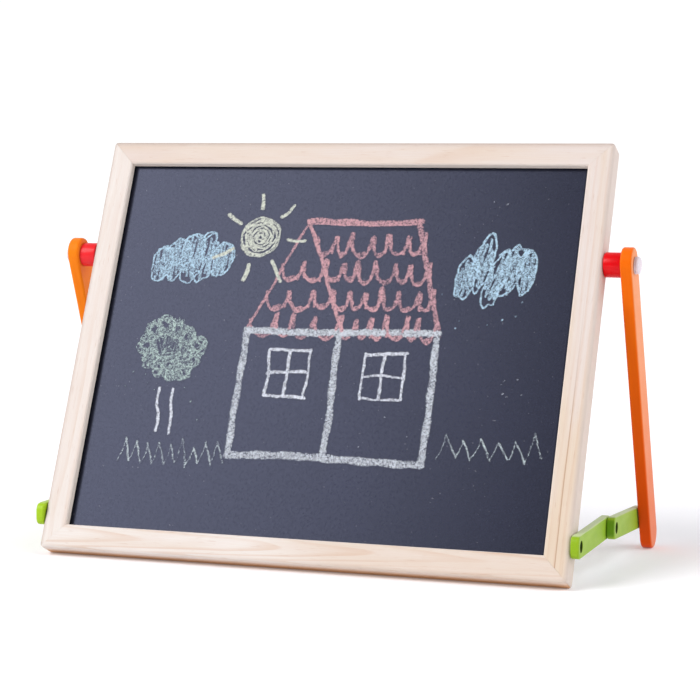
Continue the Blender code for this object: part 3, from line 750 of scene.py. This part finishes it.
def add_side(side, label):
    """One side's leg, two links, spacer, cap and fixings."""
    orange, green, red, green_shaded = PAINTS[label]
    leg_place = side_place(side, LEG_LAYER, *PIVOT, 90 - LEG_TILT)
    leg_pin = leg_place @ Matrix.Translation((LEG_PIN, 0, 0))
    bar = plate_mesh("leg", LEG_WIDTH, LEG_LENGTH, LEG_THICKNESS, LEG_ROUND, LEG_HEAD)
    leg = add_piece(label + "_orange_leg", bar, leg_place)
    cut(
        leg,
        bore("hole", BOLT_RADIUS + CLEARANCE, 0.0, LEG_THICKNESS, leg_place),
        bore("hole", INSERT_POCKET_RADIUS, 0.0, INSERT_POCKET_DEPTH, leg_pin, open_high=False),
    )
    finish_piece(leg, label + "_leg", orange, "orange_paint", label + "_leg")

    axis = (FRAME_LINK_LAYER, *FRAME_PIN, 0.0)
    first, joint = add_link(side, label, "frame_link", FRAME_LINK_LENGTH, axis, NUT_POCKET_DEPTH, green)
    axis = (LEG_LINK_LAYER, *LINK_JOINT, LEG_LINK_DROP)
    length = LEG_LINK_LENGTH
    second, end = add_link(side, label, "leg_link", length, axis, COUNTERBORE_DEPTH, green_shaded)

    seat = LINK_THICKNESS - COUNTERBORE_DEPTH + LAYER_GAP
    reach = SCREW_REACH + FRAME_LINK_LAYER + seat
    screw = pan_head(label + "_frame_screw", reach, raised(first, seat))
    finish_piece(screw, "frame", ZINC, "zinc_steel", label + "_frame_link_screw")
    nut_low = NUT_POCKET_DEPTH - LAYER_GAP - NUT_HEIGHT
    nut = hex_nut(label + "_joint_nut", raised(joint, nut_low))
    finish_piece(nut, label + "_frame_link", ZINC, "zinc_steel", label + "_link_nut")
    reach = LEG_LINK_LAYER + seat - FRAME_LINK_LAYER - nut_low - LAYER_GAP
    bolt = pan_head(label + "_joint_bolt", reach, raised(second, seat))
    finish_piece(bolt, label + "_frame_link", ZINC, "zinc_steel", label + "_link_bolt")
    seat = COUNTERBORE_DEPTH - LAYER_GAP
    flipped = raised(end, seat) @ Matrix.Rotation(math.pi, 4, "X")
    screw = pan_head(label + "_leg_screw", LINK_THICKNESS - seat, flipped)
    finish_piece(screw, label + "_leg_link", ZINC, "zinc_steel", label + "_leg_link_screw")

    pivot_place = side_place(side, 0.0, *PIVOT, 90 - LEG_TILT)
    place = raised(pivot_place, LAYER_GAP)
    sleeve = lathe("spacer", turned_rim(SPACER_RADIUS, SPACER_LENGTH, SPACER_RIM), 96)
    spacer = add_piece(label + "_red_spacer", sleeve, place)
    cut(spacer, bore("hole", BOLT_RADIUS + CLEARANCE, 0.0, SPACER_LENGTH, place))
    finish_piece(spacer, "frame", red, "red_paint", label + "_spacer")

    place = raised(pivot_place, CAP_LAYER - LAYER_GAP - CAP_BASE_HEIGHT)
    washer = lathe("base", turned_rim(CAP_RADIUS, CAP_BASE_HEIGHT, CAP_BASE_RIM), 64)
    base = add_piece(label + "_cap_washer", washer, place)
    cut(base, bore("hole", BOLT_RADIUS + CLEARANCE, -0.001, CAP_BASE_HEIGHT + 0.001, place))
    finish_piece(base, "frame", CLEAR, "clear_plastic", label + "_pivot_cap_base")

    dome = lathe("cap", dome_profile(), 64)
    cap = add_piece(label + "_cap_dome", dome, raised(pivot_place, CAP_LAYER))
    finish_piece(cap, "frame", CLEAR, "clear_plastic", label + "_pivot_cap")

for side, label in SIDES:
    add_side(side, label)

# -------- CAD nodes that stay as they are

KEPT = {
    "chalkboard_panel": chalkboard("chalkboard_paint"),
    "whiteboard_panel": whiteboard("whiteboard_lacquer"),
    "core_sheet": fibreboard("hardboard", srgb(120, 88, 60), srgb(92, 66, 44)),
}
BEECH = fibreboard("beech", srgb(214, 178, 136), srgb(190, 150, 108))
for _, label in SIDES:
    KEPT["top_" + label + "_dowel"] = BEECH
    KEPT["bottom_" + label + "_dowel"] = BEECH
    KEPT[label + "_pivot_bolt"] = ZINC
    KEPT[label + "_pivot_insert"] = BRASS
    KEPT[label + "_leg_link_insert"] = BRASS
for node, material in KEPT.items():
    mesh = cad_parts[node].data
    mesh.materials.clear()
    mesh.materials.append(material)

# -------- the chalk drawing

class Chalk:
    """Chalk on a fine grid over the board: how much lies at each point, and its colour.

    Points are (x, up) in the frame's axes.
    """

    def __init__(self, low, high, cell, seed):
        self.low = np.array(low)
        self.cell = cell
        count = np.ceil((np.array(high) - self.low) / cell).astype(int) + 1
        self.amount = np.zeros(count)
        self.colour = np.zeros((*count, 3))
        self.hand = random.Random(seed)

    def vary(self, low, high):
        """A value between low and high, as the hand happens to move."""
        return self.hand.uniform(low, high)

    def stray(self, point, by):
        """The point, missed by a little."""
        return tuple(value + self.vary(-by, by) for value in point)

    def dab(self, start, end, radius, amount, colour):
        """One short straight piece of a stroke."""
        reach = radius + self.cell
        first = np.floor((np.minimum(start, end) - reach - self.low) / self.cell).astype(int)
        last = np.ceil((np.maximum(start, end) + reach - self.low) / self.cell).astype(int) + 1
        first = np.maximum(first, 0)
        last = np.minimum(last, self.amount.shape)
        if (first >= last).any():
            return
        columns = self.low[0] + self.cell * np.arange(first[0], last[0])[:, None]
        rows = self.low[1] + self.cell * np.arange(first[1], last[1])[None, :]
        run = end - start
        share = ((columns - start[0]) * run[0] + (rows - start[1]) * run[1]) / max(run @ run, 1e-12)
        share = np.clip(share, 0, 1)
        away = np.hypot(columns - start[0] - share * run[0], rows - start[1] - share * run[1])
        laid = amount * (1 - np.clip(away / radius, 0, 1) ** 5)
        here = (slice(first[0], last[0]), slice(first[1], last[1]))
        more = laid > self.amount[here]
        self.amount[here][more] = laid[more]
        self.colour[here][more] = colour

    def stroke(self, points, width, colour, amount=0.8, wobble=0.0003, step=0.0018):
        """A smooth line through the points, drawn by an unsteady hand."""
        points = [np.array(point, float) for point in points]
        ends = [2 * points[0] - points[1]] + points + [2 * points[-1] - points[-2]]
        path = []
        for before, start, end, after in zip(ends, ends[1:], ends[2:], ends[3:]):
            count = max(2, int(np.hypot(*(end - start)) / step))
            for t in np.linspace(0, 1, count, endpoint=False):
                bend = -before + 3 * start - 3 * end + after
                pull = 2 * before - 5 * start + 4 * end - after
                path.append(0.5 * (2 * start + (end - before) * t + pull * t**2 + bend * t**3))
        path.append(points[-1])
        drift = [self.hand.uniform(0, 6.28) for _ in range(4)]
        shaken = []
        for index, point in enumerate(path):
            run = index * step
            shift = (math.sin(run * 170 + drift[0]), math.sin(run * 210 + drift[1]))
            quick = (math.sin(run * 610 + drift[2]), math.sin(run * 530 + drift[3]))
            shaken.append(point + wobble * (np.array(shift) + 0.4 * np.array(quick)))
        for index, (start, end) in enumerate(zip(shaken, shaken[1:])):
            press = 1 + 0.10 * math.sin(index * 0.35 + drift[1]) + self.hand.uniform(-0.04, 0.04)
            self.dab(start, end, width / 2 * press, amount * (0.75 + 0.25 * press), colour)

    def specks(self, centre, spread, count, colour):
        """Crumbs of chalk that fell around a place."""
        for _ in range(count):
            at = np.array([self.hand.gauss(middle, spread) for middle in centre])
            size = self.hand.uniform(0.0005, 0.0010)
            self.dab(at, at + size * 0.7, size, self.hand.uniform(0.3, 0.7), colour)

    def mesh(self, name, depth):
        """The parts of the grid that chalk reaches, as a sheet at that depth in the frame."""
        reached = self.amount > 0.02
        kept = reached[:-1, :-1] | reached[1:, :-1] | reached[:-1, 1:] | reached[1:, 1:]
        numbers = np.arange(self.amount.size).reshape(self.amount.shape)
        corners = (numbers[:-1, :-1], numbers[1:, :-1], numbers[1:, 1:], numbers[:-1, 1:])
        faces = np.stack([corner[kept] for corner in corners], axis=1)
        used, faces = np.unique(faces, return_inverse=True)
        columns, rows = np.unravel_index(used, self.amount.shape)
        points = []
        for column, row in zip(columns, rows):
            x, up = self.low + self.cell * np.array((column, row))
            points.append(FRAME_AXES @ Vector((x, depth, up)))
        made = bpy.data.meshes.new(name)
        made.from_pydata(points, [], faces.reshape(-1, 4).tolist())
        layer = made.color_attributes.new("chalk", "FLOAT_COLOR", "POINT")
        values = np.column_stack([self.colour[columns, rows], self.amount[columns, rows]])
        layer.data.foreach_set("color", values.ravel())
        return made

def between(start, end, share):
    """The point that share of the way from start to end."""
    return tuple(a + (b - a) * share for a, b in zip(start, end))

def around(centre, reach, angle, stretch=1.0):
    """The point at that reach and angle round the centre, its height stretched."""
    return (centre[0] + reach * math.cos(angle), centre[1] + stretch * reach * math.sin(angle))

SUN_CHALK = srgb(206, 210, 196)[:3]
CLOUD_CHALK = srgb(180, 211, 231)[:3]
ROOF_CHALK = srgb(204, 156, 161)[:3]
WALL_CHALK = srgb(200, 206, 214)[:3]
LEAF_CHALK = srgb(190, 212, 204)[:3]
GRASS_CHALK = srgb(198, 210, 212)[:3]
FIRM_CHALK = srgb(214, 218, 228)[:3]

def draw_sun(chalk, centre, radius, rays):
    """A wound-up disc inside a looser ring, with short rays all round it."""
    turns = 11
    for first, last, count, ring_press in ((0.05, 0.87, turns * 12, 0.84), (0.91, 0.91, 34, 0.76)):
        points = []
        for index in range(count):
            share = first + (last - first) * index / count
            reach = radius * share * (1 + chalk.vary(-0.06, 0.06))
            a = index * math.pi / 6
            points.append(around(centre, reach, a, 1.04))
        chalk.stroke(points, 0.0020, SUN_CHALK, ring_press, 0.0006)
    for index in range(rays):
        a = 2 * math.pi * (index + chalk.vary(-0.15, 0.15)) / rays
        near = radius * chalk.vary(1.25, 1.40)
        far = near + radius * chalk.vary(0.70, 1.30)
        start, end = around(centre, near, a), around(centre, far, a)
        middle = between(start, end, 0.5)
        points = [start, (middle[0] + 0.0008, middle[1] - 0.0010), end]
        chalk.stroke(points, chalk.vary(0.0030, 0.0050), SUN_CHALK, 0.86)

def draw_window(chalk, centre, width, height):
    """Four sides and two crossed bars, each one quick stroke."""
    for start, end in (
        ((-1, -1), (1, -1)), ((-1, 1), (1, 1)), ((-1, -1), (-1, 1)),
        ((1, -1), (1, 1)), ((0, -1), (0, 1)), ((-1, 0), (1, 0)),
    ):
        points = []
        for across, rise in (start, between(start, end, 0.5), end):
            corner = (centre[0] + across * width / 2, centre[1] + rise * height / 2)
            points.append(chalk.stray(corner, 0.0014))
        chalk.stroke(points, chalk.vary(0.0028, 0.0044), FIRM_CHALK, 0.80, 0.0004)

def draw_house(chalk, left, ground, width, wall, roof):
    """Two walls side by side, each with a window, under a tiled roof with its gable on the left."""
    half = width / 2
    eave = ground + wall
    ridge = eave + roof
    peak, ridge_end = (left + half / 2, ridge), (left + width - half / 3, ridge)
    eave_left, eave_mid, eave_right = ((left + half * index, eave) for index in range(3))
    for shift, thick, press in ((0.0, 0.0062, 0.74), (-0.0016, 0.0030, 0.84)):
        ends = ((peak[0], peak[1] + shift), (ridge_end[0], ridge_end[1] + shift))
        draw_wavy(chalk, *ends, thick, ROOF_CHALK, press)
    draw_wavy(chalk, peak, eave_left, 0.0034, ROOF_CHALK, 0.70)
    draw_wavy(chalk, peak, eave_mid, 0.0048, ROOF_CHALK, 0.85)
    draw_wavy(chalk, ridge_end, eave_right, 0.0062, ROOF_CHALK, 0.66)
    rows = 4
    for row in range(rows):
        share = (row + 0.85) / rows
        drop = roof * 0.19
        middle = between(peak, eave_mid, share)
        draw_tiles(chalk, middle, between(ridge_end, eave_right, share), drop, 6)
        if row:
            draw_tiles(chalk, between(peak, eave_left, share), middle, drop, row + 1)
    draw_wavy(chalk, eave_left, eave_right, 0.0086, WALL_CHALK, 0.80)
    draw_wavy(chalk, (left, ground), (left + width, ground), 0.0086, WALL_CHALK, 0.70)
    for top in (eave_left, eave_mid, eave_right):
        draw_wavy(chalk, top, (top[0], ground), 0.0078, WALL_CHALK, 0.74)
    for index in range(2):
        draw_window(chalk, (left + half * (index + 0.5), ground + wall * 0.66), half * 0.42, wall * 0.36)

def draw_wavy(chalk, start, end, width, colour, amount):
    """One long stroke that strays a little from the straight line."""
    points = [chalk.stray(between(start, end, share), 0.0015) for share in (0.0, 0.33, 0.67, 1.0)]
    chalk.stroke(points, width, colour, amount)

def draw_tiles(chalk, left, right, drop, count):
    """One row of hanging tiles, left to right, with thick strokes up to the points between them."""
    inner = [(index + chalk.vary(-0.18, 0.18)) / count for index in range(1, count)]
    edges = [0.0, *inner, 1.0]
    for first, last in zip(edges, edges[1:]):
        start = between(left, right, first)
        end = between(left, right, last)
        low = between(start, end, chalk.vary(0.40, 0.6))
        deep = drop * chalk.vary(0.42, 0.62)
        tip = (end[0] + chalk.vary(-0.0006, 0.0014), end[1] + drop * chalk.vary(0.30, 0.62))
        points = [
            (start[0] + 0.0004, start[1] + 0.3 * drop),
            (start[0] + 0.0026, start[1] - drop * 0.20),
            (low[0], low[1] - deep),
            (end[0] - 0.0030, end[1] - drop * 0.22),
            tip,
        ]
        press = chalk.vary(0.58, 0.82)
        chalk.stroke(points, chalk.vary(0.0030, 0.0042), ROOF_CHALK, press, 0.0006)
        points = [(low[0] - 0.002, low[1] - deep * 0.8), (low[0] + 0.003, low[1] - deep * 0.7)]
        chalk.stroke(points, 0.0046, ROOF_CHALK, press * 0.8, 0.0006)
        for shift in (-0.0013, 0.0011):
            foot = (end[0] + 2.4 * shift, end[1] - drop * chalk.vary(0.20, 0.42))
            top = (tip[0] + shift, tip[1])
            chalk.stroke([foot, top], 0.0034, ROOF_CHALK, chalk.vary(0.52, 0.80), 0.0006)

def draw_cloud(chalk, centre, width, height, count):
    """Blue scribble in a row of lobes, each filled with a zigzag and ringed by a firmer line."""
    for lobe in range(count):
        place = 2 * (lobe + 0.5) / count - 1
        x = centre[0] + place * width / 2
        up_middle = centre[1] + height * chalk.vary(-0.12, 0.12)
        half_width = width / count * chalk.vary(0.62, 0.80)
        half_height = height / 2 * math.sqrt(1 - 0.7 * place**2) * chalk.vary(0.85, 1.0)
        slope = math.tan(math.radians(chalk.vary(0.0, 15.0)))
        points = []
        strokes = int(half_width / 0.0010)
        for index in range(strokes):
            across = 2 * (index + chalk.vary(0.1, 0.9)) / strokes - 1
            rise = half_height * math.sqrt(1 - across**2) * chalk.vary(0.62, 1.0)
            rise = rise if index % 2 else -rise
            points.append((x + 0.9 * half_width * across + slope * rise, up_middle + rise))
        chalk.stroke(points, 0.0031, CLOUD_CHALK, 0.64, 0.0008)
        points = []
        for index in range(20):
            a = index * math.pi / 7
            share = chalk.vary(0.84, 1.10)
            rise = half_height * share * math.sin(a)
            points.append((x + half_width * share * math.cos(a) + slope * rise, up_middle + rise))
        chalk.stroke(points, 0.0023, CLOUD_CHALK, 0.76, 0.0007)

def draw_tree(chalk, centre, radius):
    """A crown of scribble inside a lumpy edge of small curls, over two lines for the trunk."""
    points = []
    for index in range(44):
        across = math.sin(index * 0.61) * 0.66
        rise = math.sqrt(1 - across**2) * chalk.vary(0.35, 0.85)
        rise = rise if index % 2 else -rise
        points.append((centre[0] + radius * (across - 0.10 * rise), centre[1] + radius * rise))
    chalk.stroke(points, 0.0020, LEAF_CHALK, 0.42, 0.0008)
    clumps = [(0.0, -0.45, 0.42, 0.50)]
    for index in range(11):
        a = index * 2 * math.pi / 11 + 0.15
        far = chalk.vary(0.62, 0.80)
        size = chalk.vary(0.26, 0.34)
        rise = far * math.sin(a)
        clumps.append((far * math.cos(a) - 0.10 * rise, 1.02 * rise, size, 0.52))
    for across, rise, size, amount in clumps:
        middle = (centre[0] + radius * across, centre[1] + radius * rise)
        points = []
        for index in range(46):
            a = index * 1.3 + chalk.vary(-0.4, 0.4)
            reach = radius * size * chalk.vary(0.25, 1.0)
            points.append(around(middle, reach, a, 1.15))
        chalk.stroke(points, 0.0018, LEAF_CHALK, amount, 0.0008)
    for shift in (-0.15, 0.25):
        x = centre[0] + radius * shift
        top, foot = (x, centre[1] - 1.2 * radius), (x + 0.004, centre[1] - 2.5 * radius)
        draw_wavy(chalk, top, foot, 0.0034, FIRM_CHALK, 0.88)

def draw_grass(chalk, left, right, ground, count):
    """One run of quick blades: up to each tip lightly, then harder down to its foot."""
    pitch = (right - left) / count
    start = (left, ground)
    for index in range(count):
        x = left + pitch * (index + 1)
        tip = (x - 0.6 * pitch, ground + chalk.vary(0.016, 0.028))
        foot = (x + chalk.vary(-0.1, 0.1) * pitch, ground + chalk.vary(-0.003, 0.005))
        press = chalk.vary(0.55, 0.85)
        bow = between(start, tip, 0.5)
        points = [start, (bow[0] + 0.0008, bow[1] - 0.0012), tip]
        chalk.stroke(points, 0.0016, GRASS_CHALK, press * 0.66, 0.0005)
        bow = between(tip, foot, 0.35)
        points = [tip, (bow[0] + 0.0006, bow[1]), foot]
        chalk.stroke(points, 0.0023, GRASS_CHALK, press * 0.82, 0.0005)
        start = foot

chalk = Chalk((-0.218, 0.080), (0.224, 0.372), 0.0008, 4)
draw_sun(chalk, (-0.083, 0.315), 0.0210, 7)
draw_cloud(chalk, (-0.150, 0.288), 0.075, 0.055, 5)
draw_cloud(chalk, (0.152, 0.285), 0.070, 0.062, 5)
draw_house(chalk, -0.082, 0.100, 0.186, 0.122, 0.110)
draw_tree(chalk, (-0.1550, 0.2000), 0.0325)
draw_grass(chalk, -0.190, -0.086, 0.088, 9)
draw_grass(chalk, 0.118, 0.215, 0.106, 6)
for centre, spread, count, colour in (
    ((0.150, 0.248), 0.018, 16, CLOUD_CHALK),
    ((0.150, 0.338), 0.022, 8, WALL_CHALK),
    ((0.172, 0.170), 0.008, 6, WALL_CHALK),
    ((0.05, 0.150), 0.040, 14, WALL_CHALK),
    ((-0.150, 0.150), 0.030, 10, LEAF_CHALK),
):
    chalk.specks(centre, spread, count, colour)
sheet = chalk.mesh("chalk_drawing", BOARD_RECESS - CHALK_LIFT)
drawing = add_piece("chalk_drawing", sheet, Matrix.Identity(4))
finish_piece(drawing, "frame", chalkboard("drawn_chalk", drawn=True), "chalkboard_paint")

# -------- floor, lights and camera

def direction(azimuth, elevation):
    """The unit vector from the easel towards that azimuth, with 0 straight in front, and elevation."""
    a, e = math.radians(azimuth), math.radians(elevation)
    return Vector((math.sin(a) * math.cos(e), -math.cos(a) * math.cos(e), math.sin(e)))

def add_sun(name, azimuth, elevation, power, spread, colour):
    """A distant lamp that shines from that direction, as soft as a disc spread degrees across."""
    data = bpy.data.lights.new(name, "SUN")
    data.energy = power
    data.angle = math.radians(spread)
    data.color = colour
    turned = direction(azimuth, elevation).to_track_quat("Z", "Y").to_matrix().to_4x4()
    add_object(name, data, turned)

add_sun("key", -46, 37, 2.6, 40, (1.0, 0.985, 0.97))
add_sun("fill", 84, 35, 1.4, 70, (1.0, 1.0, 1.0))

BACKDROP_STRENGTH = 1.05
FLOOR_REACH = 12.0

world = bpy.data.worlds.new("studio")
world.use_nodes = True
studio = Nodes(world.node_tree)
_, back, up = studio.parts(studio.node("TexCoord").outputs["Generated"])
behind = studio.fit(back, -0.35, 0.25, 0.22, 1.08)
above = studio.fit(up, 0.12, 0.75, 1.0, 0.50)
plain = studio.node("Mix")
studio.feed(plain.inputs[0], studio.node("LightPath").outputs["Is Camera Ray"])
studio.feed(plain.inputs[2], studio.times(behind, above))
studio.feed(plain.inputs[3], BACKDROP_STRENGTH)
background = studio.tree.nodes["Background"]
studio.feed(background.inputs["Strength"], plain.outputs[0])
studio.feed(background.inputs["Color"], (1.0, 1.0, 1.0, 1.0))
bpy.context.scene.world = world

floor_mesh = bpy.data.meshes.new("floor")
corners = ((-1, -1), (1, -1), (1, 1), (-1, 1))
floor_mesh.from_pydata([(FLOOR_REACH * x, FLOOR_REACH * y, 0) for x, y in corners], [], [(0, 1, 2, 3)])
floor = add_object("floor", floor_mesh, Matrix.Identity(4))
floor_finish = Finish("studio_floor")
floor_finish.set(Base_Color=(0.895, 0.895, 0.935, 1.0), Roughness=0.9, Specular_IOR_Level=0.0)
floor_finish.set(Emission_Color=(1.0, 1.0, 1.0, 1.0), Emission_Strength=0.12)
floor_mesh.materials.append(floor_finish.material)

toward = direction(CAMERA_AZIMUTH, CAMERA_ELEVATION)
right = direction(CAMERA_AZIMUTH + 90, 0)
level = Matrix((right, toward.cross(right), toward)).transposed().to_4x4()
camera_data = bpy.data.cameras.new("camera")
camera_data.lens = CAMERA_LENS
camera_data.sensor_width = SENSOR_WIDTH
camera_data.clip_end = 50.0
place = level @ Matrix.Rotation(math.radians(CAMERA_ROLL), 4, "Z")
camera = add_object("camera", camera_data, place)
camera.location = Vector(CAMERA_TARGET) + toward * CAMERA_DISTANCE
bpy.context.scene.camera = camera
bpy.context.scene.view_settings.view_transform = "Standard"
